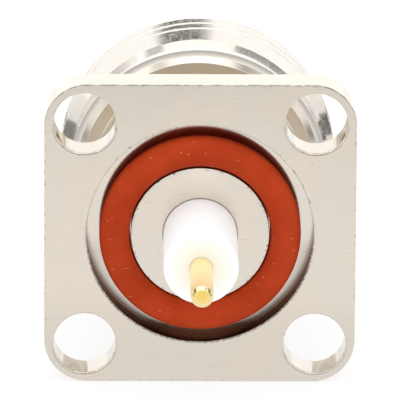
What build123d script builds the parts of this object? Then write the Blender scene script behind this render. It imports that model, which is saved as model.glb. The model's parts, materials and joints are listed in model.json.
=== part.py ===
from build123d import *
import os

# Coaxial jack for a panel: square flange, threaded coupling end and soldered pin end.
# Millimetres, +Z up. The coupling axis is Y. The flange's rear face lies at Y = 0,
# the thread and the mouth point towards +Y, the insulator and the pin towards -Y.

# Flange and its four screw holes
hole_d = 3.5
hole_spacing = 12.95
hole_edge_wall = 0.525
hole_rim_chamfer = 0.15
flange_thickness = 2.1
flange_corner_r = 2.45
flange_edge_chamfer = 0.1

# Sealing ring and its groove in the rear face
boss_d = 7.77
ring_section_d = 1.78
groove_depth = 1.2
groove_free_width = 0.7
groove_rim_chamfer = 0.06

# Barrel from the flange to the front, outside
neck_d = 12.0
neck_length = 8.78
neck_root_chamfer = 0.4
shoulder_width = 0.72
step_chamfer = 0.42
relief_length = 2.0
thread_major_d = 15.875
thread_pitch = 1.058
thread_length = 2.3
thread_front_chamfer = 0.5
nose_d = 14.4
nose_length = 1.75
nose_chamfer = 0.3

# Thread depth and flank width, both as shares of the pitch
thread_depth_share = 0.52
thread_flank_share = 0.33

# Bores of the barrel
mouth_d = 8.1
mouth_depth = 9.1
mouth_chamfer = 0.3
press_bore_d = 7.9
rear_wall = 2.4
rear_bore_chamfer = 0.05

# Pressed bush that holds the insulators and ends at the reference plane
bush_bore_d = 7.0
bush_length = 1.9
bush_lead_chamfer = 0.1

# Insulators
tail_d = 4.15
tail_length = 6.1
tail_chamfer = 0.08
bead_length = 2.2
bead_slit = 0.3

# Centre contact
pin_d = 1.25
pin_free_length = 5.15
pin_tip_chamfer = 0.22
socket_d = 3.04
socket_bore_d = 1.66
socket_reach = 4.9
socket_floor_web = 1.0
socket_tip_chamfer = 0.2
socket_slit = 0.3
contact_neck_d = 2.1
collar_length = 1.0

# Retaining grooves that start where the insulator and the pin come free
keeper_groove_depth = 0.18
keeper_groove_width = 0.6

# Share of the socket's depth that is slit into spring fingers
slit_share = 0.75

# Clearances and the overrun of through cuts
fit_gap = 0.01
seat_gap = 0.005
rear_bore_gap = 0.015
overrun = 0.5

# Sizes that follow from the ones above
flange_width = hole_spacing + hole_d + 2 * hole_edge_wall
hole_r = hole_d / 2
boss_r = boss_d / 2
groove_outer_r = boss_r + ring_section_d + groove_free_width
neck_r = neck_d / 2
shoulder_r = neck_r + shoulder_width
thread_r = thread_major_d / 2
thread_depth = thread_pitch * thread_depth_share
thread_flank = thread_pitch * thread_flank_share
relief_r = thread_r - thread_depth
nose_r = nose_d / 2
mouth_r = mouth_d / 2
press_r = press_bore_d / 2
bush_bore_r = bush_bore_d / 2
tail_r = tail_d / 2
rear_bore_r = tail_r + rear_bore_gap
pin_r = pin_d / 2
socket_r = socket_d / 2
socket_bore_r = socket_bore_d / 2
contact_neck_r = contact_neck_d / 2
insulator_r = press_r - fit_gap

# Stations along the coupling axis
neck_end_y = flange_thickness + neck_length
relief_start_y = neck_end_y + step_chamfer
relief_end_y = relief_start_y + relief_length
thread_start_y = relief_end_y + thread_flank
thread_end_y = thread_start_y + thread_length
nose_start_y = thread_end_y + thread_front_chamfer
front_y = nose_start_y + nose_length
reference_y = front_y - mouth_depth
bush_start_y = reference_y - bush_length
bead_start_y = bush_start_y - bead_length
collar_start_y = bead_start_y - collar_length
socket_tip_y = reference_y + socket_reach
socket_floor_y = bush_start_y + socket_floor_web
slit_start_y = socket_tip_y - (socket_tip_y - socket_floor_y) * slit_share
tail_end_y = -tail_length
pin_tip_y = tail_end_y - pin_free_length

# Sketches of flat outlines lie on the rear face, looking forward along the axis.
rear_plane = Plane(origin=(0, 0, 0), x_dir=(1, 0, 0), z_dir=(0, 1, 0))

os.makedirs("parts", exist_ok=True)


# Body: flange, barrel and thread land turned and milled from one bar
with BuildPart() as body:
    with BuildSketch(rear_plane):
        RectangleRounded(flange_width, flange_width, flange_corner_r)
        with GridLocations(hole_spacing, hole_spacing, 2, 2):
            Circle(hole_r, mode=Mode.SUBTRACT)
    extrude(amount=flange_thickness)
    flats = body.faces().sort_by(Axis.Y)
    rims = [edge for face in (flats[0], flats[-1]) for wire in face.inner_wires() for edge in wire.edges()]
    outline = [edge for face in (flats[0], flats[-1]) for edge in face.outer_wire().edges()]
    chamfer(rims, length=hole_rim_chamfer)
    chamfer(outline, length=flange_edge_chamfer)

    # Barrel outside: waist, shoulder, step up to the relief, thread land and nose
    with BuildSketch(Plane.XY):
        Polygon(
            (0, flange_thickness),
            (neck_r + neck_root_chamfer, flange_thickness),
            (neck_r, flange_thickness + neck_root_chamfer),
            (neck_r, neck_end_y),
            (shoulder_r, neck_end_y),
            (shoulder_r + step_chamfer, relief_start_y),
            (relief_r, relief_start_y),
            (relief_r, relief_end_y),
            (thread_r, thread_start_y),
            (thread_r, thread_end_y),
            (nose_r, nose_start_y),
            (nose_r, front_y - nose_chamfer),
            (nose_r - nose_chamfer, front_y),
            (0, front_y),
            align=None,
        )
    revolve(axis=Axis.Y)

    # Stepped bore: rear hole, seat for the insulators and the bush, and the mouth
    with BuildSketch(Plane.XY):
        Polygon(
            (0, 0),
            (rear_bore_r + rear_bore_chamfer, 0),
            (rear_bore_r, rear_bore_chamfer),
            (rear_bore_r, rear_wall),
            (press_r, rear_wall),
            (press_r, reference_y),
            (mouth_r, reference_y),
            (mouth_r, front_y - mouth_chamfer),
            (mouth_r + mouth_chamfer, front_y),
            (0, front_y),
            align=None,
        )
    revolve(axis=Axis.Y, mode=Mode.SUBTRACT)

    # Groove for the sealing ring, with broken rims
    with BuildSketch(Plane.XY):
        Polygon(
            (boss_r - groove_rim_chamfer, 0),
            (boss_r, groove_rim_chamfer),
            (boss_r, groove_depth),
            (groove_outer_r, groove_depth),
            (groove_outer_r, groove_rim_chamfer),
            (groove_outer_r + groove_rim_chamfer, 0),
            align=None,
        )
    revolve(axis=Axis.Y, mode=Mode.SUBTRACT)

body.part.label = "body"
export_step(body.part, "parts/body.step")


# Sealing ring: lies on the groove's floor, around the boss, and stands proud of the rear face
ring_r = ring_section_d / 2
ring_centre_r = boss_r + seat_gap + ring_r
ring_centre_y = groove_depth - seat_gap - ring_r
with BuildPart() as flange_o_ring:
    with BuildSketch(Plane.XY):
        with BuildLine():
            CenterArc((ring_centre_r, ring_centre_y), ring_r, 0, 180)
            CenterArc((ring_centre_r, ring_centre_y), ring_r, 180, 180)
        make_face()
    revolve(axis=Axis.Y)

flange_o_ring.part.label = "flange_o_ring"
export_step(flange_o_ring.part, "parts/flange_o_ring.step")


# Rear insulator: head in the barrel, tail through the flange and out behind it
pin_hole_r = pin_r + seat_gap
with BuildPart() as rear_insulator:
    with BuildSketch(Plane.XY):
        Polygon(
            (pin_hole_r, tail_end_y),
            (tail_r - tail_chamfer, tail_end_y),
            (tail_r, tail_end_y + tail_chamfer),
            (tail_r, 0),
            (tail_r - keeper_groove_depth, 0),
            (tail_r - keeper_groove_depth, keeper_groove_width),
            (tail_r, keeper_groove_width),
            (tail_r, rear_wall),
            (insulator_r, rear_wall),
            (insulator_r, bead_start_y),
            (socket_r + fit_gap, bead_start_y),
            (socket_r + fit_gap, collar_start_y),
            (pin_hole_r, collar_start_y),
            align=None,
        )
    revolve(axis=Axis.Y)

rear_insulator.part.label = "rear_insulator"
export_step(rear_insulator.part, "parts/rear_insulator.step")


# Front insulator: a slit bead, snapped over the contact's neck
with BuildPart() as front_insulator:
    with BuildSketch(rear_plane.offset(bead_start_y)):
        Circle(insulator_r)
        Circle(contact_neck_r + fit_gap, mode=Mode.SUBTRACT)
        with Locations((0, insulator_r / 2)):
            Rectangle(bead_slit, insulator_r + overrun, mode=Mode.SUBTRACT)
    extrude(amount=bead_length)

front_insulator.part.label = "front_insulator"
export_step(front_insulator.part, "parts/front_insulator.step")


# Outer contact bush: pressed in on top of the bead, its front face is the reference plane
with BuildPart() as outer_contact_bush:
    with BuildSketch(Plane.XY):
        Polygon(
            (bush_bore_r, bush_start_y),
            (insulator_r, bush_start_y),
            (insulator_r, reference_y),
            (bush_bore_r + bush_lead_chamfer, reference_y),
            (bush_bore_r, reference_y - bush_lead_chamfer),
            align=None,
        )
    revolve(axis=Axis.Y)

outer_contact_bush.part.label = "outer_contact_bush"
export_step(outer_contact_bush.part, "parts/outer_contact_bush.step")


# Centre contact: solder pin, collar, neck and slotted socket in one turned piece
with BuildPart() as centre_contact:
    with BuildSketch(Plane.XY):
        Polygon(
            (0, pin_tip_y),
            (pin_r - pin_tip_chamfer, pin_tip_y),
            (pin_r, pin_tip_y + pin_tip_chamfer),
            (pin_r, tail_end_y),
            (pin_r - keeper_groove_depth, tail_end_y),
            (pin_r - keeper_groove_depth, tail_end_y + keeper_groove_width),
            (pin_r, tail_end_y + keeper_groove_width),
            (pin_r, collar_start_y),
            (socket_r, collar_start_y),
            (socket_r, bead_start_y),
            (contact_neck_r, bead_start_y),
            (contact_neck_r, bush_start_y),
            (socket_r, bush_start_y),
            (socket_r, socket_tip_y - socket_tip_chamfer),
            (socket_r - socket_tip_chamfer, socket_tip_y),
            (socket_bore_r, socket_tip_y),
            (socket_bore_r, socket_floor_y),
            (0, socket_floor_y),
            align=None,
        )
    revolve(axis=Axis.Y)

    # Two crossed saw cuts make the four spring fingers
    with BuildSketch(rear_plane.offset(slit_start_y)):
        with PolarLocations(0, 2, angular_range=180):
            Rectangle(socket_slit, socket_d + overrun)
    extrude(amount=socket_tip_y - slit_start_y + overrun, mode=Mode.SUBTRACT)

centre_contact.part.label = "centre_contact"
export_step(centre_contact.part, "parts/centre_contact.step")
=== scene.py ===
import json
import math
import random
import bmesh
import bpy
from mathutils import Matrix, Vector


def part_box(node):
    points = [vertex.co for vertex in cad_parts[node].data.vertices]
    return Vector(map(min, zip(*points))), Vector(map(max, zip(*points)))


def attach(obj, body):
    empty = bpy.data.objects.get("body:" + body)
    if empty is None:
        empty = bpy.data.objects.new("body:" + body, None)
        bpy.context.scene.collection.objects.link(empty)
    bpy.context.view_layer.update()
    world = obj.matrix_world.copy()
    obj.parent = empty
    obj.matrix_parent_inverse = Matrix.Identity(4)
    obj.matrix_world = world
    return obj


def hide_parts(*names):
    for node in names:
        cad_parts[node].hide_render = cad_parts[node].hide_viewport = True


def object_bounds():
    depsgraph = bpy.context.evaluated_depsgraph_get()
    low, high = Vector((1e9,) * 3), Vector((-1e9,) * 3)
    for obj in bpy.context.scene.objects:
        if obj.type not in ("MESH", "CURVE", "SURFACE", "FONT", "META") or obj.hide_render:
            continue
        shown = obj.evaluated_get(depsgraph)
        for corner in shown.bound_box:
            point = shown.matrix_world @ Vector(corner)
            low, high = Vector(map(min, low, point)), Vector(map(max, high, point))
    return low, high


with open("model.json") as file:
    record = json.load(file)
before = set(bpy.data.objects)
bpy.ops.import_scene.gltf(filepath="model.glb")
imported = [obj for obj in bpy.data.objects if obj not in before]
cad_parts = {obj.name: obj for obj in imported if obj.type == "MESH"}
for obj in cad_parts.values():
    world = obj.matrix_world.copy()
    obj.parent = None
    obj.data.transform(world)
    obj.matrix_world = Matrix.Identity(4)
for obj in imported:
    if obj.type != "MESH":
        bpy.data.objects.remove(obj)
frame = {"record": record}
cadLow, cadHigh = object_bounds()
mounts = {mount["name"]: mount for mount in frame["record"]["mounts"]}
scene = bpy.context.scene
mm = 0.001  # shapes are made in millimetres and brought to metres at the end
weldDistance = 0.0004


# Helpers for shapes

def nodeBox(name):
    low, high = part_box(name)
    return low / mm, high / mm


def keepAsObject(name, bm):
    mesh = bpy.data.meshes.new(name)
    bm.to_mesh(mesh)
    bm.free()
    obj = bpy.data.objects.new(name, mesh)
    scene.collection.objects.link(obj)
    return obj


def turned(name, outline, steps, roundSteps=4, phase=0.0):
    # outline points are (radius, station, corner rounding), in order along the section; phase is the
    # share of a step by which the facets are turned, so that two turned shapes share no edge
    bm = bmesh.new()
    verts = [bm.verts.new((radius, station, 0)) for radius, station, rounding in outline]
    for a, b in zip(verts, verts[1:]):
        bm.edges.new((a, b))
    if outline[0][0] > 0:
        bm.edges.new((verts[-1], verts[0]))
    for vert, (radius, station, rounding) in zip(verts, outline):
        if rounding > 0:
            bmesh.ops.bevel(bm, geom=[vert], offset=rounding, offset_type="OFFSET", affect="VERTICES",
                            segments=roundSteps, profile=0.5, material=-1)
    bmesh.ops.spin(bm, geom=bm.verts[:] + bm.edges[:], cent=(0, 0, 0), axis=(0, 1, 0), dvec=(0, 0, 0),
                   angle=2 * math.pi, steps=steps, use_merge=True, use_duplicate=False)
    turn = Matrix.Rotation(phase * 2 * math.pi / steps, 3, "Y")
    bmesh.ops.rotate(bm, cent=(0, 0, 0), matrix=turn, verts=bm.verts[:])
    bmesh.ops.remove_doubles(bm, verts=bm.verts[:], dist=weldDistance)
    bmesh.ops.recalc_face_normals(bm, faces=bm.faces[:])
    return keepAsObject(name, bm)


def combine(base, tool, operation):
    step = base.modifiers.new("combine", "BOOLEAN")
    step.object = tool
    step.operation = operation
    step.solver = "EXACT"
    shaped = base.evaluated_get(bpy.context.evaluated_depsgraph_get())
    mesh = bpy.data.meshes.new_from_object(shaped)
    base.modifiers.clear()
    bm = bmesh.new()
    bm.from_mesh(mesh)
    bmesh.ops.remove_doubles(bm, verts=bm.verts[:], dist=weldDistance)
    bmesh.ops.dissolve_degenerate(bm, edges=bm.edges[:], dist=weldDistance)
    bm.to_mesh(mesh)
    bm.free()
    base.data = mesh
    bpy.data.objects.remove(tool)
    return base


def flare(radius, station, size, outward, deeper):
    # a cutter's outline at a rounded rim: clear of the face, nearly along it, then round into the wall
    reach, lift, clear = 3 * size, 0.06 * size, 0.3
    return [
        (radius + reach * outward, station - clear * deeper, 0),
        (radius + reach * outward, station - lift * deeper, 0),
        (radius, station, size),
    ]


def dress(obj, node, material, sharpAngle=30):
    # the shading is evened out in millimetres, because its weighting compares areas, and then brought to metres
    obj.data.shade_smooth()
    obj.data.set_sharp_from_angle(angle=math.radians(sharpAngle))
    weighted = obj.modifiers.new("evenShading", "WEIGHTED_NORMAL")
    weighted.keep_sharp = True
    depsgraph = bpy.context.evaluated_depsgraph_get()
    mesh = bpy.data.meshes.new_from_object(obj.evaluated_get(depsgraph), preserve_all_data_layers=True,
                                           depsgraph=depsgraph)
    obj.modifiers.clear()
    mesh.transform(Matrix.Scale(mm, 4))
    mesh.materials.clear()
    mesh.materials.append(material)
    obj.data = mesh
    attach(obj, "root")
    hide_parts(node)
    print(obj.name, "has", len(mesh.polygons), "faces")
    return obj


# Helpers for materials

def put(tree, kind, inputs=None, **settings):
    item = tree.nodes.new(kind)
    for name, value in settings.items():
        setattr(item, name, value)
    for name, value in (inputs or {}).items():
        if isinstance(value, bpy.types.NodeSocket):
            tree.links.new(value, item.inputs[name])
        else:
            item.inputs[name].default_value = value
    return item


def math2(tree, operation, first, second=0.0, clamp=False):
    return put(tree, "ShaderNodeMath", {0: first, 1: second}, operation=operation, use_clamp=clamp).outputs[0]


def band(tree, value, low, high, toLow=0.0, toHigh=1.0):
    inputs = {"Value": value, "From Min": low, "From Max": high, "To Min": toLow, "To Max": toHigh}
    return put(tree, "ShaderNodeMapRange", inputs, interpolation_type="SMOOTHSTEP").outputs[0]


def noise(tree, vector, scale, detail=2.0, roughness=0.5):
    inputs = {"Vector": vector, "Scale": scale, "Detail": detail, "Roughness": roughness}
    return put(tree, "ShaderNodeTexNoise", inputs).outputs["Fac"]


def newMaterial(name):
    material = bpy.data.materials.new(name)
    material.use_nodes = True
    tree = material.node_tree
    tree.nodes.clear()
    shader = put(tree, "ShaderNodeBsdfPrincipled")
    output = put(tree, "ShaderNodeOutputMaterial", {"Surface": shader.outputs[0]})
    output.location = (300, 0)
    coordinates = put(tree, "ShaderNodeTexCoord").outputs["Object"]
    place = put(tree, "ShaderNodeMapping", {"Vector": coordinates, "Scale": (1 / mm, 1 / mm, 1 / mm)})
    return material, tree, shader, place.outputs[0]


# Nickel plate: satin, with straight brushing on the flange and turning marks round the axis

holePattern = mounts["flange_holes"]["dims"]
nickelLook = {
    "colour": (0.835, 0.755, 0.652),
    "coolColour": (0.815, 0.752, 0.668),
    "wallShadeColour": (0.60, 0.35, 0.28),
    "wallReflectionTint": (0.58, 0.42, 0.37),
    "threadColour": (0.797, 0.750, 0.685),
    "reliefHighlightColour": (0.865, 0.845, 0.815),
    "faceRoughness": 0.18,
    "turnedRoughness": 0.10,
    "threadRoughness": 0.055,
    "stepRoughness": 0.55,
    "coneRoughness": 0.24,
    "grooveRoughness": 0.12,
    "grooveSideRoughness": 0.28,
    "wallRoughness": 0.24,
    "grooveShadeTone": 0.045,
    "wallShadeTone": 0.74,
    "shoulderShadeTone": 0.42,
    "holeWallShadeTone": 0.11,
    "stepShadeTone": 0.24,
    "brushTone": 0.12,
    "brushDepth": 0.0007,
    "turnDepth": 0.0005,
    "grainDepth": 0.0010,
    "sparkDepth": 0.0026,
    "nickDepth": 0.0160,
    "nickTone": 0.65,
    "edgeReflectionTone": 0.45,
    "halfWidth": 8.75,
    "cornerRadius": 2.45,
    "rims": (3.885, 6.365),
    "holePlace": holePattern["spacing_x_mm"] / 2,
    "holeRadius": holePattern["hole_r_mm"],
}


def radiusFrom(tree, first, second):
    flat = put(tree, "ShaderNodeCombineXYZ", {0: first, 1: 0.0, 2: second}).outputs[0]
    return put(tree, "ShaderNodeVectorMath", {0: flat}, operation="LENGTH").outputs["Value"]


def nearTo(tree, value, place, reach):
    # one at the place, fading to nothing at the reach on both sides
    away = math2(tree, "ABSOLUTE", math2(tree, "SUBTRACT", value, place))
    return band(tree, away, reach, reach * 0.3)


def product(tree, *values):
    result = values[0]
    for value in values[1:]:
        result = math2(tree, "MULTIPLY", result, value)
    return result


def total(tree, *values):
    result = values[0]
    for value in values[1:]:
        result = math2(tree, "ADD", result, value)
    return result


def nickelFinish(look):
    material, tree, shader, place = newMaterial("nickelPlate")
    split = put(tree, "ShaderNodeSeparateXYZ", {0: place})
    x, y, z = split.outputs[0], split.outputs[1], split.outputs[2]
    wide, high = math2(tree, "ABSOLUTE", x), math2(tree, "ABSOLUTE", z)
    radius = radiusFrom(tree, x, z)
    normal = put(tree, "ShaderNodeNewGeometry").outputs["Normal"]
    facing = math2(tree, "ABSOLUTE", put(tree, "ShaderNodeSeparateXYZ", {0: normal}).outputs[1])
    onFlange = band(tree, y, 2.3, 2.0)
    onFace = product(tree, onFlange, band(tree, facing, 0.85, 0.98), band(tree, y, 0.2, 0.1))
    threadZone = band(tree, y, 11.0, 12.0)
    # onStep marks the step's rounding; it sets its roughness, and its outer part is darkened as a painted dark
    # reflection
    onStep = product(tree, band(tree, y, 11.14, 11.19), band(tree, y, 11.36, 11.33), band(tree, facing, 0.70, 0.80))
    # painted shade: the rear-facing shoulder before the thread is darkened, more towards its top
    shadedShoulder = product(tree, band(tree, y, 10.83, 10.86), band(tree, y, 10.91, 10.89), band(tree, facing, 0.8, 0.95),
                         band(tree, z, 3.0, 6.0, 0.6, 1.0))
    onCone = product(tree, band(tree, y, 10.86, 10.90), band(tree, y, 11.36, 11.33), band(tree, radius, 6.60, 6.72))

    # marks of the tools: straight brushing, rings round the axis, and the plating's own grain
    brushSpace = put(tree, "ShaderNodeMapping", {"Vector": place, "Scale": (0.25, 1.0, 7.0)}).outputs[0]
    brush = noise(tree, brushSpace, 2.6, 3.0, 0.6)
    scratchSpace = put(tree, "ShaderNodeMapping", {"Vector": place, "Scale": (0.09, 1.0, 5.0)}).outputs[0]
    scratches = band(tree, noise(tree, scratchSpace, 3.1, 2.0, 0.5), 0.66, 0.72)
    ringSpace = put(tree, "ShaderNodeCombineXYZ", {0: radius, 1: y, 2: 0.0}).outputs[0]
    rings = noise(tree, ringSpace, 9.0, 3.0, 0.65)
    ringMarks = product(tree, band(tree, rings, 0.56, 0.66), band(tree, radius, 8.4, 6.6), onFace,
                        band(tree, noise(tree, place, 0.35, 2.0), 0.45, 0.6))
    grain = noise(tree, place, 9.0, 3.0, 0.6)
    sparks = product(tree, band(tree, noise(tree, place, 24.0, 2.0, 0.6), 0.55, 0.68), threadZone)
    # inGroove marks the groove; it sets the groove's roughness and also darkens the groove slightly as painted shade
    # in the recess
    inGroove = product(tree, band(tree, y, 0.01, 0.04), band(tree, radius, 3.80, 3.84), band(tree, radius, 6.42, 6.38),
                       onFlange)
    # painted shade and painted reflection: the groove's outer wall, more on its lower half, is darkened and coloured
    # red-brown, standing in for the shaded red ring it mirrors
    onWall = product(tree, inGroove, band(tree, radius, 6.33, 6.36), band(tree, facing, 0.7, 0.3),
                     band(tree, z, 1.5, -2.5, 0.4, 1.0))
    clouds = noise(tree, place, 0.55, 3.0)
    patches = noise(tree, place, 0.22, 2.0)

    # nicks along the flange's outline and along the rims of groove, boss and holes
    outline = band(tree, math2(tree, "MAXIMUM", wide, high), look["halfWidth"] - 0.16, look["halfWidth"] - 0.02)
    holeReach = radiusFrom(tree, math2(tree, "SUBTRACT", wide, look["holePlace"]),
                           math2(tree, "SUBTRACT", high, look["holePlace"]))
    rims = math2(tree, "MAXIMUM", product(tree, outline, 0.5),
                 product(tree, nearTo(tree, holeReach, look["holeRadius"], 0.15), 0.4))
    for rim in look["rims"]:
        rims = math2(tree, "MAXIMUM", rims, nearTo(tree, radius, rim, 0.15))
    spots = noise(tree, place, 5.0, 4.0, 0.7)
    burrs = product(tree, nearTo(tree, radius, look["rims"][1] + 0.04, 0.08), band(tree, z, 1.5, -2.5),
                    band(tree, noise(tree, place, 9.0, 4.0, 0.7), 0.46, 0.54))
    nicks = math2(tree, "MAXIMUM", product(tree, rims, band(tree, spots, 0.56, 0.63)), burrs)
    nicks = product(tree, nicks, band(tree, y, 0.3, 0.1))
    # painted dark reflections: thin dark lines along the flange's upper edge, on the lower rims of its holes and just
    # inside their lower walls
    flat = look["halfWidth"] - look["cornerRadius"]
    edgeReach = radiusFrom(tree, math2(tree, "MAXIMUM", math2(tree, "SUBTRACT", wide, flat), 0.0),
                           math2(tree, "MAXIMUM", math2(tree, "SUBTRACT", z, flat), 0.0))
    edgeLine = product(tree, band(tree, edgeReach, look["cornerRadius"] - 0.06, look["cornerRadius"] - 0.03),
                       band(tree, z, flat, flat + 1.0), band(tree, y, 0.07, 0.05),
                       band(tree, noise(tree, place, 1.5, 4.0, 0.7), 0.44, 0.54))
    low = product(tree, math2(tree, "SIGN", z), math2(tree, "SUBTRACT", high, look["holePlace"]))
    low = band(tree, low, 0.2, -1.1)
    rimLine = product(tree, nearTo(tree, holeReach, look["holeRadius"] + 0.10, 0.03), band(tree, y, 0.07, 0.05), low,
                      band(tree, noise(tree, place, 0.8, 3.0, 0.6), 0.30, 0.50, 0.25, 1.0))
    wallLine = product(tree, nearTo(tree, y, 0.10, 0.03), band(tree, holeReach, 1.80, 1.77), low)
    edges = math2(tree, "MAXIMUM", math2(tree, "MAXIMUM", edgeLine, wallLine), rimLine)
    # painted shade: the walls inside the flange's holes are darkened
    shadedHoleWall = product(tree, band(tree, holeReach, 1.80, 1.77), band(tree, y, 0.10, 0.14), onFlange)
    cells = put(tree, "ShaderNodeTexVoronoi", {"Vector": place, "Scale": 1.1})
    chosen = put(tree, "ShaderNodeSeparateColor", {0: cells.outputs["Color"]}).outputs[0]
    pits = product(tree, band(tree, cells.outputs["Distance"], 0.05, 0.02), band(tree, chosen, 0.6, 0.62), onFace)

    ringAmount = math2(tree, "SUBTRACT", 1.0, math2(tree, "MULTIPLY", onFace, 0.75))
    height = total(
        tree,
        product(tree, brush, onFace, look["brushDepth"] * mm),
        product(tree, rings, ringAmount, look["turnDepth"] * mm),
        product(tree, grain, look["grainDepth"] * mm),
        product(tree, sparks, look["sparkDepth"] * mm),
        product(tree, total(tree, nicks, pits), -look["nickDepth"] * mm),
    )
    bump = put(tree, "ShaderNodeBump", {"Height": height, "Strength": 1.0, "Distance": 1.0})

    mix = put(tree, "ShaderNodeMix", {0: band(tree, patches, 0.35, 0.65)}, data_type="RGBA")
    mix.inputs[6].default_value = (*look["colour"], 1)
    mix.inputs[7].default_value = (*look["coolColour"], 1)
    marks = total(tree, product(tree, brush, 0.6), scratches, ringMarks)
    marks = product(tree, marks, onFace, -look["brushTone"])
    tone = total(tree, 1.02, marks, product(tree, pits, -0.45), product(tree, nicks, -look["nickTone"]),
                 product(tree, edges, -look["edgeReflectionTone"]), product(tree, inGroove, -look["grooveShadeTone"]),
                 product(tree, onWall, -look["wallShadeTone"]), product(tree, shadedShoulder, -look["shoulderShadeTone"]),
                 product(tree, shadedHoleWall, -look["holeWallShadeTone"]),
                 product(tree, onStep, band(tree, radius, 7.02, 7.32), -look["stepShadeTone"]))
    # painted highlight: the relief land between step and thread is coloured lighter, standing in for the bright light
    # it mirrors
    onRelief = product(tree, band(tree, y, 11.23, 11.37), band(tree, y, 13.32, 13.28))
    thread = put(tree, "ShaderNodeMix", {0: band(tree, y, 11.2, 11.26), 6: mix.outputs[2]}, data_type="RGBA")
    thread.inputs[7].default_value = (*look["threadColour"], 1)
    reliefLit = put(tree, "ShaderNodeMix", {0: onRelief, 6: thread.outputs[2]}, data_type="RGBA")
    reliefLit.inputs[7].default_value = (*look["reliefHighlightColour"], 1)
    wallShaded = put(tree, "ShaderNodeMix", {0: onWall, 6: reliefLit.outputs[2]}, data_type="RGBA")
    wallShaded.inputs[7].default_value = (*look["wallShadeColour"], 1)
    tinted = put(tree, "ShaderNodeMix", {0: 1.0, 6: wallShaded.outputs[2]}, data_type="RGBA", blend_type="MULTIPLY")
    tree.links.new(put(tree, "ShaderNodeCombineColor", {0: tone, 1: tone, 2: tone}).outputs[0], tinted.inputs[7])
    tree.links.new(tinted.outputs[2], shader.inputs["Base Color"])
    rough = band(tree, onFace, 0.0, 1.0, look["turnedRoughness"], look["faceRoughness"])
    rough = total(tree, rough, product(tree, clouds, 0.08), -0.04, product(tree, brush, onFace, 0.05))
    rough = band(tree, threadZone, 0.0, 1.0, rough, look["threadRoughness"])
    rough = band(tree, onCone, 0.0, 1.0, rough, look["coneRoughness"])
    rough = band(tree, onStep, 0.0, 1.0, rough, look["stepRoughness"])
    lowSides = product(tree, band(tree, wide, 1.5, 4.0), band(tree, z, 0.5, -2.0))
    grooveRough = band(tree, lowSides, 0.0, 1.0, look["grooveRoughness"], look["grooveSideRoughness"])
    rough = band(tree, inGroove, 0.0, 1.0, rough, grooveRough)
    rough = band(tree, onWall, 0.0, 1.0, rough, look["wallRoughness"])
    tree.links.new(rough, shader.inputs["Roughness"])
    tree.links.new(bump.outputs[0], shader.inputs["Normal"])
    # painted reflection: a red-brown specular tint on the groove's outer wall
    edge = put(tree, "ShaderNodeMix", {0: onWall}, data_type="RGBA")
    edge.inputs[6].default_value = (1, 1, 1, 1)
    edge.inputs[7].default_value = (*look["wallReflectionTint"], 1)
    tree.links.new(edge.outputs[2], shader.inputs["Specular Tint"])
    shader.inputs["Metallic"].default_value = 1.0
    return material


# Silicone of the sealing ring

siliconeLook = {
    "colour": (0.440, 0.043, 0.008),
    "deepColour": (0.385, 0.035, 0.006),
    "dustColour": (0.80, 0.36, 0.22),
    "roughness": 0.58,
    "shine": 0.08,
}


def siliconeFinish(look):
    material, tree, shader, place = newMaterial("siliconeRubber")
    clouds = noise(tree, place, 0.5, 3.0)
    grain = noise(tree, place, 26.0, 3.0, 0.7)
    cells = put(tree, "ShaderNodeTexVoronoi", {"Vector": place, "Scale": 1.9})
    sparse = put(tree, "ShaderNodeSeparateColor", {0: cells.outputs["Color"]}).outputs[0]
    dots = product(tree, band(tree, cells.outputs["Distance"], 0.075, 0.045), band(tree, sparse, 0.50, 0.51))
    fibreSpace = put(tree, "ShaderNodeMapping", {"Vector": place, "Rotation": (0, 0.9, 0), "Scale": (1.1, 1, 8)})
    fibres = band(tree, noise(tree, fibreSpace.outputs[0], 1.5, 3.0, 0.6), 0.69, 0.72)
    dust = math2(tree, "MAXIMUM", dots, product(tree, fibres, 0.6))
    base = put(tree, "ShaderNodeMix", {0: band(tree, clouds, 0.35, 0.65)}, data_type="RGBA")
    base.inputs[6].default_value = (*look["colour"], 1)
    base.inputs[7].default_value = (*look["deepColour"], 1)
    dusty = put(tree, "ShaderNodeMix", {0: dust, 6: base.outputs[2]}, data_type="RGBA")
    dusty.inputs[7].default_value = (*look["dustColour"], 1)
    tree.links.new(dusty.outputs[2], shader.inputs["Base Color"])
    rough = math2(tree, "ADD", math2(tree, "MULTIPLY", clouds, 0.15), look["roughness"] - 0.07)
    tree.links.new(rough, shader.inputs["Roughness"])
    height = math2(tree, "MULTIPLY", math2(tree, "ADD", grain, math2(tree, "MULTIPLY", dust, 4.0)), 0.004 * mm)
    bump = put(tree, "ShaderNodeBump", {"Height": height, "Strength": 1.0, "Distance": 1.0})
    tree.links.new(bump.outputs[0], shader.inputs["Normal"])
    shader.inputs["Specular IOR Level"].default_value = look["shine"]
    return material


# White fluoropolymer of the insulators

insulatorLook = {
    "colour": (0.95, 0.95, 0.945),
    "shadeColour": (0.935, 0.937, 0.94),
    "roughness": 0.42,
    "goldBounceColour": (0.945, 0.900, 0.800),
    "goldBounceFrom": 2.2,
    "glow": 0.15,
    "glowReach": 0.5,
    "turnDepth": 0.0015,
}


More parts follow.
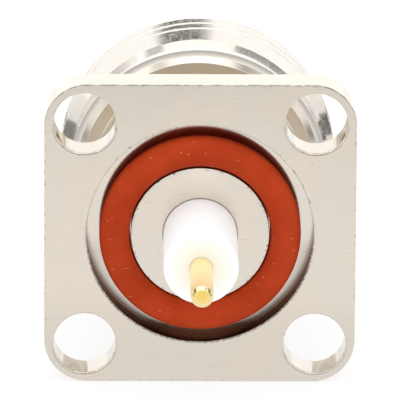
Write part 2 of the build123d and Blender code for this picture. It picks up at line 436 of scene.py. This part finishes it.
def insulatorFinish(look):
    material, tree, shader, place = newMaterial("fluoropolymer")
    split = put(tree, "ShaderNodeSeparateXYZ", {0: place})
    radius = radiusFrom(tree, split.outputs[0], split.outputs[2])
    ringSpace = put(tree, "ShaderNodeCombineXYZ", {0: radius, 1: split.outputs[1], 2: 0.0}).outputs[0]
    rings = noise(tree, ringSpace, 8.0, 3.0, 0.6)
    clouds = noise(tree, place, 0.8, 3.0)
    mix = put(tree, "ShaderNodeMix", {0: band(tree, clouds, 0.35, 0.7)}, data_type="RGBA")
    mix.inputs[6].default_value = (*look["colour"], 1)
    mix.inputs[7].default_value = (*look["shadeColour"], 1)
    # painted reflected light: near the gold pin the insulator turns yellow, standing in for the gold's light passing
    # into it
    goldBounce = band(tree, radius, look["goldBounceFrom"], 0.7)
    warm = put(tree, "ShaderNodeMix", {0: goldBounce, 6: mix.outputs[2]}, data_type="RGBA")
    warm.inputs[7].default_value = (*look["goldBounceColour"], 1)
    tree.links.new(warm.outputs[2], shader.inputs["Base Color"])
    rough = math2(tree, "ADD", math2(tree, "MULTIPLY", rings, 0.12), look["roughness"] - 0.06)
    tree.links.new(rough, shader.inputs["Roughness"])
    height = math2(tree, "MULTIPLY", rings, look["turnDepth"] * mm)
    bump = put(tree, "ShaderNodeBump", {"Height": height, "Strength": 1.0, "Distance": 1.0})
    tree.links.new(bump.outputs[0], shader.inputs["Normal"])
    shader.inputs["Subsurface Weight"].default_value = look["glow"]
    shader.inputs["Subsurface Radius"].default_value = (1.0, 0.95, 0.9)
    shader.inputs["Subsurface Scale"].default_value = look["glowReach"] * mm
    return material


# Gold plate of the contact

goldLook = {
    "colour": (1.0, 0.715, 0.185),
    "paleReflectionColour": (0.985, 0.768, 0.385),
    "highlightColour": (1.0, 0.90, 0.60),
    "darkReflectionColour": (0.36, 0.27, 0.07),
    "roughness": 0.34,
    "tipRoughness": 0.22,
    "metal": 0.50,
    "tipMetal": 0.95,
    "tipFrom": -11.02,
    "endFrom": -11.21,
    "endMiddle": 0.12,
    "endRim": 0.72,
    "rimShare": 0.75,
    "turnDepth": 0.0008,
}


def goldFinish(look):
    material, tree, shader, place = newMaterial("goldPlate")
    split = put(tree, "ShaderNodeSeparateXYZ", {0: place})
    radius = radiusFrom(tree, split.outputs[0], split.outputs[2])
    ringSpace = put(tree, "ShaderNodeCombineXYZ", {0: radius, 1: split.outputs[1], 2: 0.0}).outputs[0]
    rings = noise(tree, ringSpace, 14.0, 3.0, 0.6)
    clouds = noise(tree, place, 1.4, 3.0)
    onTip = band(tree, split.outputs[1], look["tipFrom"] + 0.03, look["tipFrom"])
    onEnd = band(tree, split.outputs[1], look["endFrom"] + 0.03, look["endFrom"])
    behind = band(tree, split.outputs[1], -0.5, 0.5)
    # painted reflection: the contact's rear part is a paler gold, standing in for the white insulator it mirrors; the
    # tip's end face and underside keep the deep gold
    pale = product(tree, math2(tree, "SUBTRACT", 1.0, onTip), math2(tree, "SUBTRACT", 1.0, behind))
    under = product(tree, onTip, band(tree, split.outputs[2], 0.40, 0.10))
    paledByReflection = product(tree, math2(tree, "SUBTRACT", 1.0, math2(tree, "MAXIMUM", onEnd, under)),
                    math2(tree, "SUBTRACT", 1.0, behind))
    mix = put(tree, "ShaderNodeMix", {0: paledByReflection}, data_type="RGBA")
    mix.inputs[6].default_value = (*look["colour"], 1)
    mix.inputs[7].default_value = (*look["paleReflectionColour"], 1)
    # painted highlight and painted dark reflections: the tip's upper bevel is bright in the middle and dark at both
    # sides, and the tip brightens towards its rim
    across = math2(tree, "ABSOLUTE", split.outputs[0])
    onBevel = product(tree, onTip, math2(tree, "SUBTRACT", 1.0, onEnd))
    middle = product(tree, onBevel, band(tree, across, 0.26, 0.12), band(tree, split.outputs[2], 0.30, 0.40))
    away = math2(tree, "POWER", total(tree, math2(tree, "POWER", split.outputs[0], 2.0),
                                      math2(tree, "POWER", total(tree, split.outputs[2], -0.14), 2.0)), 0.5)
    fading = product(tree, onTip, band(tree, away, look["endMiddle"], look["endRim"]), look["rimShare"])
    darkWings = product(tree, onBevel, nearTo(tree, across, 0.40, 0.10), band(tree, split.outputs[2], 0.10, 0.20))
    paintedHighlight = math2(tree, "MAXIMUM", middle, fading)
    bright = put(tree, "ShaderNodeMix", {0: paintedHighlight, 6: mix.outputs[2]}, data_type="RGBA")
    bright.inputs[7].default_value = (*look["highlightColour"], 1)
    winged = put(tree, "ShaderNodeMix", {0: darkWings, 6: bright.outputs[2]}, data_type="RGBA")
    winged.inputs[7].default_value = (*look["darkReflectionColour"], 1)
    tree.links.new(winged.outputs[2], shader.inputs["Base Color"])
    metal = band(tree, pale, 0.0, 1.0, look["tipMetal"], look["metal"])
    tree.links.new(metal, shader.inputs["Metallic"])
    rough = band(tree, pale, 0.0, 1.0, look["tipRoughness"], look["roughness"])
    rough = total(tree, rough, product(tree, clouds, 0.08), -0.04)
    tree.links.new(rough, shader.inputs["Roughness"])
    height = math2(tree, "MULTIPLY", rings, look["turnDepth"] * mm)
    bump = put(tree, "ShaderNodeBump", {"Height": height, "Strength": 1.0, "Distance": 1.0})
    tree.links.new(bump.outputs[0], shader.inputs["Normal"])
    return material


nickel = nickelFinish(nickelLook)
silicone = siliconeFinish(siliconeLook)
insulator = insulatorFinish(insulatorLook)
gold = goldFinish(goldLook)
print("materials are made")


# Body: a flange plate and a turned barrel, with holes, groove and bores cut through both

bodyLow, bodyHigh = nodeBox("body")
bodySizes = {
    "width": bodyHigh.x - bodyLow.x,
    "front": bodyHigh.y,
    "plate": 2.1,
    "cornerRadius": 2.45,
    "edgeRound": 0.05,
    "holeRound": 0.09,
    "neckRadius": 6.0,
    "neckRoot": 0.4,
    "neckEnd": 10.88,
    "shoulderRadius": 6.72,
    "step": 0.42,
    "stepRound": 0.17,
    "reliefStart": 11.3,
    "reliefEnd": 13.3,
    "noseStart": 16.449,
    "noseRadius": 7.2,
    "noseBevel": 0.3,
    "mouthBevel": 0.3,
    "reference": mounts["reference_plane"]["pos_m"][1] / mm,
    "mouthRadius": 4.05,
    "seatRadius": 3.95,
    "rearWall": 2.4,
    "rearBore": 2.09,
    "grooveInner": 3.885,
    "grooveOuter": 6.365,
    "grooveDepth": 1.2,
    "rimRound": 0.03,
    "grooveCorner": 0.0,
    "boreRound": 0.04,
}
threadSizes = {
    "crestRadius": mounts["mating_thread"]["dims"]["r_mm"],
    "pitch": 1.058,
    "depth": 0.55,
    "crest": 0.28,
    "flank": 0.349,
    "firstCrest": 13.70,
    "lead": 0.5,
    "burr": 0.003,
}


def makePlate(size):
    bm = bmesh.new()
    bmesh.ops.create_cube(bm, size=1.0)
    bmesh.ops.scale(bm, vec=(size["width"], size["plate"], size["width"]), verts=bm.verts[:])
    bmesh.ops.translate(bm, vec=(0, size["plate"] / 2, 0), verts=bm.verts[:])
    corners = [e for e in bm.edges if abs(e.verts[0].co.y - e.verts[1].co.y) > size["plate"] / 2]
    bmesh.ops.bevel(bm, geom=corners, offset=size["cornerRadius"], offset_type="OFFSET", affect="EDGES",
                    segments=22, profile=0.5, material=-1)
    outline = [e for e in bm.edges if abs(e.verts[0].co.y - e.verts[1].co.y) < size["plate"] / 2]
    bmesh.ops.bevel(bm, geom=outline, offset=size["edgeRound"], offset_type="OFFSET", affect="EDGES",
                    segments=3, profile=0.5, material=-1)
    return keepAsObject("plate", bm)


def makeBarrel(size, thread):
    root = thread["crestRadius"] - thread["depth"]
    slope = thread["lead"] / (thread["crestRadius"] - size["noseRadius"])
    outline = [
        (0, size["plate"] / 2, 0),
        (size["neckRadius"] + size["neckRoot"], size["plate"] / 2, 0),
        (size["neckRadius"] + size["neckRoot"], size["plate"] - 0.02, 0),
        (size["neckRadius"], size["plate"] + size["neckRoot"], 0.12),
        (size["neckRadius"], size["neckEnd"], 0.08),
        (size["shoulderRadius"], size["neckEnd"] - 0.01, 0.03),
        (size["shoulderRadius"] + size["step"], size["reliefStart"], size["stepRound"]),
        (root, size["reliefStart"], 0.055),
        (root, size["noseStart"] - slope * (root - size["noseRadius"]), 0.03),
        (size["noseRadius"], size["noseStart"], 0.05),
        (size["noseRadius"], size["front"] - size["noseBevel"], 0.05),
        (size["noseRadius"] - size["noseBevel"], size["front"], 0.05),
        (0, size["front"], 0),
    ]
    return turned("barrel", outline, 160, phase=0.5)


def makeThread(size, thread):
    # one tooth swept along the helix, right-handed, then cut to the land by a turned ring
    root = thread["crestRadius"] - thread["depth"]
    slope = thread["flank"] / thread["depth"]
    sunk = 0.045
    halfCrest = thread["crest"] / 2
    halfBase = halfCrest + thread["flank"] + sunk * slope
    stepsPerTurn, turns = 160, 5
    # the sweep starts at +X, a quarter turn past the top, and two turns before the land
    start = thread["firstCrest"] + halfCrest + thread["pitch"] * (0.25 - 2)
    bm = bmesh.new()
    section = [(root - sunk, -halfBase), (thread["crestRadius"], -halfCrest),
               (thread["crestRadius"], halfCrest), (root - sunk, halfBase)]
    verts = [bm.verts.new((radius, start + station, 0)) for radius, station in section]
    bm.faces.new(verts)
    bmesh.ops.bevel(bm, geom=verts[1:3], offset=0.03, offset_type="OFFSET", affect="VERTICES",
                    segments=2, profile=0.5, material=-1)
    bmesh.ops.spin(bm, geom=bm.verts[:] + bm.edges[:] + bm.faces[:], cent=(0, 0, 0), axis=(0, 1, 0),
                   dvec=(0, thread["pitch"] / stepsPerTurn, 0), angle=2 * math.pi * turns,
                   steps=stepsPerTurn * turns, use_merge=False, use_duplicate=False)
    bmesh.ops.recalc_face_normals(bm, faces=bm.faces[:])
    rng = random.Random(7)
    for vert in bm.verts:
        radius = math.hypot(vert.co.x, vert.co.z)
        if radius > thread["crestRadius"] - 0.05:
            vert.co.y += rng.uniform(-1, 1) * thread["burr"]
            squeeze = 1 - rng.uniform(0, 1) * thread["burr"] / radius
            vert.co.x *= squeeze
            vert.co.z *= squeeze
    ridge = keepAsObject("ridge", bm)
    inner = root - 2 * sunk
    leadSlope = thread["lead"] / (thread["crestRadius"] - size["noseRadius"])
    outline = [
        (inner, size["reliefEnd"] - slope * (root - inner), 0),
        (thread["crestRadius"] + 0.1, size["reliefEnd"] + slope * (thread["depth"] + 0.1), 0),
        (thread["crestRadius"] + 0.1, size["noseStart"] - thread["lead"] - leadSlope * 0.1, 0),
        (inner, size["noseStart"] - leadSlope * (inner - size["noseRadius"]), 0),
    ]
    return combine(ridge, turned("land", outline, 160, phase=0.23), "INTERSECT")


def makeCuts(size, pattern):
    spacing, radius = pattern["spacing_x_mm"], pattern["hole_r_mm"]
    rim, back = size["holeRound"], size["plate"]
    rear = flare(radius, 0, rim, 1, 1)
    front = flare(radius, back, rim, 1, -1)[::-1]
    hole = turned("hole", [(0, rear[0][1], 0)] + rear + front + [(0, front[-1][1], 0)], 72, phase=0.3)
    bm = bmesh.new()
    for column in (-0.5, 0.5):
        for row in (-0.5, 0.5):
            seen = set(bm.verts)
            bm.from_mesh(hole.data)
            reliefLit = [v for v in bm.verts if v not in seen]
            bmesh.ops.translate(bm, vec=(column * spacing, 0, row * spacing), verts=reliefLit)
    bpy.data.objects.remove(hole)

    rim = size["rimRound"]
    groove = flare(size["grooveInner"], 0, rim, -1, 1)
    corner = size["grooveCorner"]
    groove += [(size["grooveInner"], size["grooveDepth"], corner), (size["grooveOuter"], size["grooveDepth"], corner)]
    groove += flare(size["grooveOuter"], 0, rim, 1, 1)[::-1]
    bore = flare(size["rearBore"], 0, size["boreRound"], 1, 1)
    past = 0.05
    bore += [
        (size["rearBore"], size["rearWall"], 0),
        (size["seatRadius"], size["rearWall"], 0),
        (size["seatRadius"], size["reference"], 0),
        (size["mouthRadius"], size["reference"], 0),
        (size["mouthRadius"], size["front"] - size["mouthBevel"], 0),
        (size["mouthRadius"] + size["mouthBevel"] + past, size["front"] + past, 0),
        (0, size["front"] + past, 0),
    ]
    for name, outline in (("groove", groove), ("bore", [(0, bore[0][1], 0)] + bore)):
        part = turned(name, outline, 144, phase=0.37)
        bm.from_mesh(part.data)
        bpy.data.objects.remove(part)
    return keepAsObject("cuts", bm)


shell = makePlate(bodySizes)
shell = combine(shell, makeBarrel(bodySizes, threadSizes), "UNION")
shell = combine(shell, makeThread(bodySizes, threadSizes), "UNION")
shell = combine(shell, makeCuts(bodySizes, holePattern), "DIFFERENCE")
shell.name = "bodyShell"
dress(shell, "body", nickel, 28)
print("the body is made")


# Sealing ring

ringLow, ringHigh = nodeBox("flange_o_ring")
ringSizes = {
    "section": (ringHigh.y - ringLow.y) / 2,
    "centre": ringHigh.x - (ringHigh.y - ringLow.y) / 2,
    "station": (ringHigh.y + ringLow.y) / 2,
    "mouldLine": 0.015,
    "innerRelief": 0.045,
}


def makeRing(size):
    bm = bmesh.new()
    bmesh.ops.create_circle(bm, cap_ends=False, segments=40, radius=size["section"])
    for vert in bm.verts:
        if vert.co.x < 0:
            vert.co.x *= 1 - size["innerRelief"] / size["section"]
        if abs(vert.co.y) < size["mouldLine"]:
            vert.co.x *= 1 - size["mouldLine"] / size["section"]
    bmesh.ops.translate(bm, vec=(size["centre"], size["station"], 0), verts=bm.verts[:])
    bmesh.ops.spin(bm, geom=bm.verts[:] + bm.edges[:], cent=(0, 0, 0), axis=(0, 1, 0), dvec=(0, 0, 0),
                   angle=2 * math.pi, steps=160, use_merge=True, use_duplicate=False)
    bmesh.ops.recalc_face_normals(bm, faces=bm.faces[:])
    return keepAsObject("sealingRing", bm)


dress(makeRing(ringSizes), "flange_o_ring", silicone, 60)


# Insulators, bush and contact

tailLow, tailHigh = nodeBox("rear_insulator")
beadLow, beadHigh = nodeBox("front_insulator")
bushLow, bushHigh = nodeBox("outer_contact_bush")
contactLow, contactHigh = nodeBox("centre_contact")
tailRadius = mounts["insulator_tail"]["dims"]["r_mm"]
pinRadius = mounts["solder_pin"]["dims"]["r_mm"]
socketRadius = contactHigh.x
insulatorSizes = {"edge": 0.09, "pinHole": pinRadius + 0.005, "collarStart": 3.999, "keeper": 0.18, "keeperEnd": 0.6}


def makeTail(size):
    outline = [
        (size["pinHole"], tailLow.y, 0.005),
        (tailRadius, tailLow.y, size["edge"]),
        (tailRadius, 0, 0.02),
        (tailRadius - size["keeper"], 0, 0),
        (tailRadius - size["keeper"], size["keeperEnd"], 0),
        (tailRadius, size["keeperEnd"], 0),
        (tailRadius, bodySizes["rearWall"], 0),
        (tailHigh.x, bodySizes["rearWall"], 0.03),
        (tailHigh.x, tailHigh.y, 0.03),
        (socketRadius + 0.01, tailHigh.y, 0),
        (socketRadius + 0.01, size["collarStart"], 0),
        (size["pinHole"], size["collarStart"], 0),
    ]
    return turned("insulatorTail", outline, 128)


def makeBead():
    neck = 1.06
    outline = [
        (neck, beadLow.y, 0.03),
        (beadHigh.x, beadLow.y, 0.03),
        (beadHigh.x, beadHigh.y, 0.03),
        (neck, beadHigh.y, 0.05),
    ]
    bead = turned("insulatorBead", outline, 128)
    bm = bmesh.new()
    bmesh.ops.create_cube(bm, size=1.0)
    bmesh.ops.scale(bm, vec=(0.3, 4.0, 4.4), verts=bm.verts[:])
    bmesh.ops.translate(bm, vec=(0, (beadLow.y + beadHigh.y) / 2, 2.2), verts=bm.verts[:])
    return combine(bead, keepAsObject("slit", bm), "DIFFERENCE")


def makeBush():
    inner = 3.5
    outline = [
        (inner, bushLow.y, 0.04),
        (bushHigh.x, bushLow.y, 0.04),
        (bushHigh.x, bushHigh.y, 0.03),
        (inner + 0.1, bushHigh.y, 0.03),
        (inner, bushHigh.y - 0.1, 0.03),
    ]
    return turned("contactBush", outline, 128)


contactSizes = {"tipBevel": 0.22, "neck": 1.05, "bore": 0.83, "floor": 8.199, "slit": 0.3, "slitStart": 9.65}


def makeContact(size):
    outline = [
        (0, contactLow.y, 0),
        (pinRadius - size["tipBevel"], contactLow.y, 0.015),
        (pinRadius, contactLow.y + size["tipBevel"], 0.06),
        (pinRadius, tailLow.y, 0.02),
        (pinRadius - 0.18, tailLow.y, 0),
        (pinRadius - 0.18, tailLow.y + 0.6, 0),
        (pinRadius, tailLow.y + 0.6, 0),
        (pinRadius, insulatorSizes["collarStart"], 0),
        (socketRadius, insulatorSizes["collarStart"], 0.04),
        (socketRadius, beadLow.y, 0.04),
        (size["neck"], beadLow.y, 0),
        (size["neck"], beadHigh.y, 0),
        (socketRadius, beadHigh.y, 0.04),
        (socketRadius, contactHigh.y - 0.2, 0.06),
        (socketRadius - 0.2, contactHigh.y, 0.06),
        (size["bore"], contactHigh.y, 0.1),
        (size["bore"], size["floor"], 0),
        (0, size["floor"] - 0.3, 0),
    ]
    contact = turned("centreContact", outline, 96)
    length = contactHigh.y - size["slitStart"] + 1
    for turn in (0, 90):
        bm = bmesh.new()
        bmesh.ops.create_cube(bm, size=1.0)
        bmesh.ops.scale(bm, vec=(size["slit"], length, 4), verts=bm.verts[:])
        bmesh.ops.translate(bm, vec=(0, size["slitStart"] + length / 2, 0), verts=bm.verts[:])
        bmesh.ops.rotate(bm, cent=(0, 0, 0), matrix=Matrix.Rotation(math.radians(turn), 3, "Y"), verts=bm.verts[:])
        contact = combine(contact, keepAsObject("slit", bm), "DIFFERENCE")
    return contact


dress(makeTail(insulatorSizes), "rear_insulator", insulator, 35)
dress(makeBead(), "front_insulator", insulator, 35)
dress(makeBush(), "outer_contact_bush", nickel, 35)
dress(makeContact(contactSizes), "centre_contact", gold, 35)
print("ring, insulators, bush and contact are made")


# Camera at the photograph's view of the object

photoView = {
    "azimuth": -0.68,
    "elevation": 17.9,
    "roll": 0.35,
    "distance": 430.0,
    "pixelsPerMm": 17.83,
    "framePixels": 400,
    "rearCentre": (200.3, 234.1),
}


def placeCamera(view):
    camera = bpy.data.objects.new("photoCamera", bpy.data.cameras.new("photoCamera"))
    scene.collection.objects.link(camera)
    turn, rise = math.radians(view["azimuth"]), math.radians(view["elevation"])
    back = Vector((math.sin(turn) * math.cos(rise), -math.cos(turn) * math.cos(rise), math.sin(rise)))
    right = Vector((0, 0, 1)).cross(back).normalized()
    up = back.cross(right)
    half = view["framePixels"] / 2
    aim = right * (half - view["rearCentre"][0]) + up * (view["rearCentre"][1] - half)
    aim = aim / view["pixelsPerMm"] * mm
    basis = Matrix((right, up, back)).transposed().to_4x4()
    roll = Matrix.Rotation(math.radians(view["roll"]), 4, "Z")
    camera.matrix_world = Matrix.Translation(aim + back * view["distance"] * mm) @ basis @ roll
    camera.data.sensor_width = 36
    camera.data.lens = camera.data.sensor_width * view["distance"] * view["pixelsPerMm"] / view["framePixels"]
    camera.data.clip_start = 0.01
    camera.data.clip_end = 10
    scene.camera = camera


placeCamera(photoView)


# Floor, cards and lamps

stageLook = {
    "floorSize": 2.0,
    "floorGlow": 0.72,
    "worldSoft": 0.93,
}
# dark parts of the room that the metal mirrors; azimuth is from +Y towards +X, wide and high are half sizes
# in degrees as seen from the object, and soft is the share of the half size over which a card fades to white
cards = {
    "cameraHigh": {"reach": 0.3, "azimuth": 187.5, "elevation": 46, "wide": 14, "high": 12, "tone": 0.08, "soft": 0.5},
    "cameraLow": {"reach": 0.3, "azimuth": 180, "elevation": 8, "wide": 26, "high": 10, "tone": 0.04, "soft": 0.3},
    "rightStrip": {"reach": 0.3, "azimuth": 97, "elevation": 46, "wide": 7.3, "high": 20, "tone": 0.14, "soft": 0.06},
    "rightCone": {"reach": 0.3, "azimuth": 120, "elevation": 57, "wide": 7, "high": 6, "tone": 0.08, "soft": 0.3},
    "leftStripHigh": {"reach": 0.3, "azimuth": -108, "elevation": 64, "wide": 7, "high": 7, "tone": 0.42, "soft": 0.6},
    "leftStripLow": {"reach": 0.3, "azimuth": -105, "elevation": 32, "wide": 8, "high": 15, "tone": 0.60, "soft": 0.6},
    "leftCone": {"reach": 0.3, "azimuth": -127, "elevation": 60, "wide": 5.5, "high": 5.5, "tone": 0.35, "soft": 0.6},
    "leftSide": {"reach": 0.055, "azimuth": -99, "elevation": -2.5, "wide": 9, "high": 5.5, "tone": 0.04, "soft": 0.3},
    "leftUpper": {"reach": 0.055, "azimuth": -82, "elevation": 5, "wide": 8, "high": 5, "tone": 0.03, "soft": 0.3},
    "rightSide": {"reach": 0.055, "azimuth": 99, "elevation": -1.5, "wide": 9, "high": 6, "tone": 0.0, "soft": 0.3},
    "rightUpper": {"reach": 0.055, "azimuth": 82, "elevation": 6.5, "wide": 8, "high": 6, "tone": 0.0, "soft": 0.3},
}
# paper in front of the object: near it slightly dim, so that the rear face isn't white, and dark further off
frontPapers = {
    "footPaper": {"from": 0.0, "to": 0.012, "wide": 0.2, "tone": 0.86},
    "nearPaper": {"from": 0.012, "to": 0.076, "wide": 0.2, "tone": 0.95},
    "farPaper": {"from": 0.076, "to": 0.400, "wide": 0.12, "tone": 0.10},
}
lamps = {
    "roof": {"azimuth": 0, "elevation": 90, "distance": 0.6, "size": 0.9, "radiance": 0.55, "mirrored": True},
    "back": {"azimuth": 0, "elevation": 20, "distance": 0.8, "size": 0.9, "radiance": 0.22, "mirrored": True},
    "left": {"azimuth": -132, "elevation": 35, "distance": 0.7, "size": 0.6, "radiance": 0.30, "mirrored": True},
    "right": {"azimuth": 134, "elevation": 35, "distance": 0.7, "size": 0.6, "radiance": 0.30, "mirrored": True},
    "fillLeft": {"azimuth": -98, "elevation": 32, "distance": 0.7, "size": 0.5, "radiance": 0.85, "mirrored": False},
    "fillRight": {"azimuth": 98, "elevation": 32, "distance": 0.7, "size": 0.5, "radiance": 0.85, "mirrored": False},
}
lampColour = (0.93, 0.97, 1.0)


def towards(azimuth, elevation, distance):
    turn, rise = math.radians(azimuth), math.radians(elevation)
    return Vector((math.sin(turn) * math.cos(rise), math.cos(turn) * math.cos(rise), math.sin(rise))) * distance


def facingCentre(place):
    return place.to_track_quat("Z", "Y").to_matrix().to_4x4()


def cardMaterial(name, tone, soft):
    # fades to the white of the room at the card's borders
    material = bpy.data.materials.new(name)
    material.use_nodes = True
    tree = material.node_tree
    tree.nodes.clear()
    split = put(tree, "ShaderNodeSeparateXYZ", {0: put(tree, "ShaderNodeTexCoord").outputs["UV"]})
    away = [math2(tree, "ABSOLUTE", math2(tree, "SUBTRACT", split.outputs[axis], 0.5)) for axis in (0, 1)]
    mottle = noise(tree, put(tree, "ShaderNodeTexCoord").outputs["UV"], 9.0, 4.0, 0.7)
    dark = band(tree, mottle, 0.35, 0.65, tone * 0.5, tone * 1.5 + 0.03)
    border = band(tree, math2(tree, "MAXIMUM", *away), 0.5 - soft / 2, 0.5, dark, 1.0)
    light = put(tree, "ShaderNodeEmission", {"Color": (1, 1, 1, 1), "Strength": border})
    put(tree, "ShaderNodeOutputMaterial", {"Surface": light.outputs[0]})
    return material


def plainMaterial(name, glow, diffuse):
    material = bpy.data.materials.new(name)
    material.use_nodes = True
    tree = material.node_tree
    tree.nodes.clear()
    light = put(tree, "ShaderNodeEmission", {"Color": (1, 1, 1, 1), "Strength": glow})
    matt = put(tree, "ShaderNodeBsdfDiffuse", {"Color": (diffuse, diffuse, diffuse, 1)})
    both = put(tree, "ShaderNodeAddShader", {0: light.outputs[0], 1: matt.outputs[0]})
    put(tree, "ShaderNodeOutputMaterial", {"Surface": both.outputs[0]})
    return material


def makeFloor(look):
    bm = bmesh.new()
    bmesh.ops.create_grid(bm, x_segments=1, y_segments=1, size=look["floorSize"])
    bmesh.ops.translate(bm, vec=(0, 0, cadLow.z), verts=bm.verts[:])
    floor = keepAsObject("floor", bm)
    floor.data.materials.append(plainMaterial("palePaper", look["floorGlow"], 1 - look["floorGlow"]))


def onlyMirrored(obj):
    obj.visible_camera = False
    obj.visible_diffuse = False
    obj.visible_shadow = False


def makeCard(name, card):
    reach = card["reach"]
    place = towards(card["azimuth"], card["elevation"], reach)
    bm = bmesh.new()
    bm.loops.layers.uv.new("UVMap")
    bmesh.ops.create_grid(bm, x_segments=1, y_segments=1, size=1.0, calc_uvs=True)
    wide, high = reach * math.tan(math.radians(card["wide"])), reach * math.tan(math.radians(card["high"]))
    bmesh.ops.scale(bm, vec=(wide, high, 1), verts=bm.verts[:])
    bmesh.ops.transform(bm, matrix=Matrix.Translation(place) @ facingCentre(place), verts=bm.verts[:])
    obj = keepAsObject(name, bm)
    obj.data.materials.append(cardMaterial(name, card["tone"], card["soft"]))
    onlyMirrored(obj)


def makeFrontPaper(name, paper):
    lift = 0.00001
    bm = bmesh.new()
    bmesh.ops.create_grid(bm, x_segments=1, y_segments=1, size=1.0)
    depth = (paper["to"] - paper["from"]) / 2
    bmesh.ops.scale(bm, vec=(paper["wide"], depth, 1), verts=bm.verts[:])
    bmesh.ops.translate(bm, vec=(0, -paper["from"] - depth, cadLow.z + lift), verts=bm.verts[:])
    obj = keepAsObject(name, bm)
    obj.data.materials.append(plainMaterial(name, paper["tone"], 0.0))
    onlyMirrored(obj)


def makeLamp(name, lamp):
    data = bpy.data.lights.new(name, "AREA")
    data.shape = "SQUARE"
    data.size = lamp["size"]
    data.color = lampColour
    data.energy = lamp["radiance"] * math.pi * lamp["size"] ** 2
    obj = bpy.data.objects.new(name, data)
    scene.collection.objects.link(obj)
    place = towards(lamp["azimuth"], lamp["elevation"], lamp["distance"])
    obj.matrix_world = Matrix.Translation(place) @ facingCentre(place)
    obj.visible_glossy = lamp["mirrored"]


def makeWorld(look):
    world = bpy.data.worlds.new("whiteRoom")
    scene.world = world
    world.use_nodes = True
    tree = world.node_tree
    tree.nodes.clear()
    path = put(tree, "ShaderNodeLightPath")
    seen = math2(tree, "MAXIMUM", path.outputs["Is Camera Ray"], path.outputs["Is Glossy Ray"])
    seen = math2(tree, "MAXIMUM", seen, path.outputs["Is Transmission Ray"])
    strength = math2(tree, "ADD", math2(tree, "MULTIPLY", seen, 1 - look["worldSoft"]), look["worldSoft"])
    sky = put(tree, "ShaderNodeBackground", {"Color": (1, 1, 1, 1), "Strength": strength})
    put(tree, "ShaderNodeOutputWorld", {"Surface": sky.outputs[0]})


makeFloor(stageLook)
for name, card in cards.items():
    makeCard(name, card)
for name, paper in frontPapers.items():
    makeFrontPaper(name, paper)
for name, lamp in lamps.items():
    makeLamp(name, lamp)
makeWorld(stageLook)
scene.view_settings.view_transform = "Standard"
print("camera, floor and lights are placed")
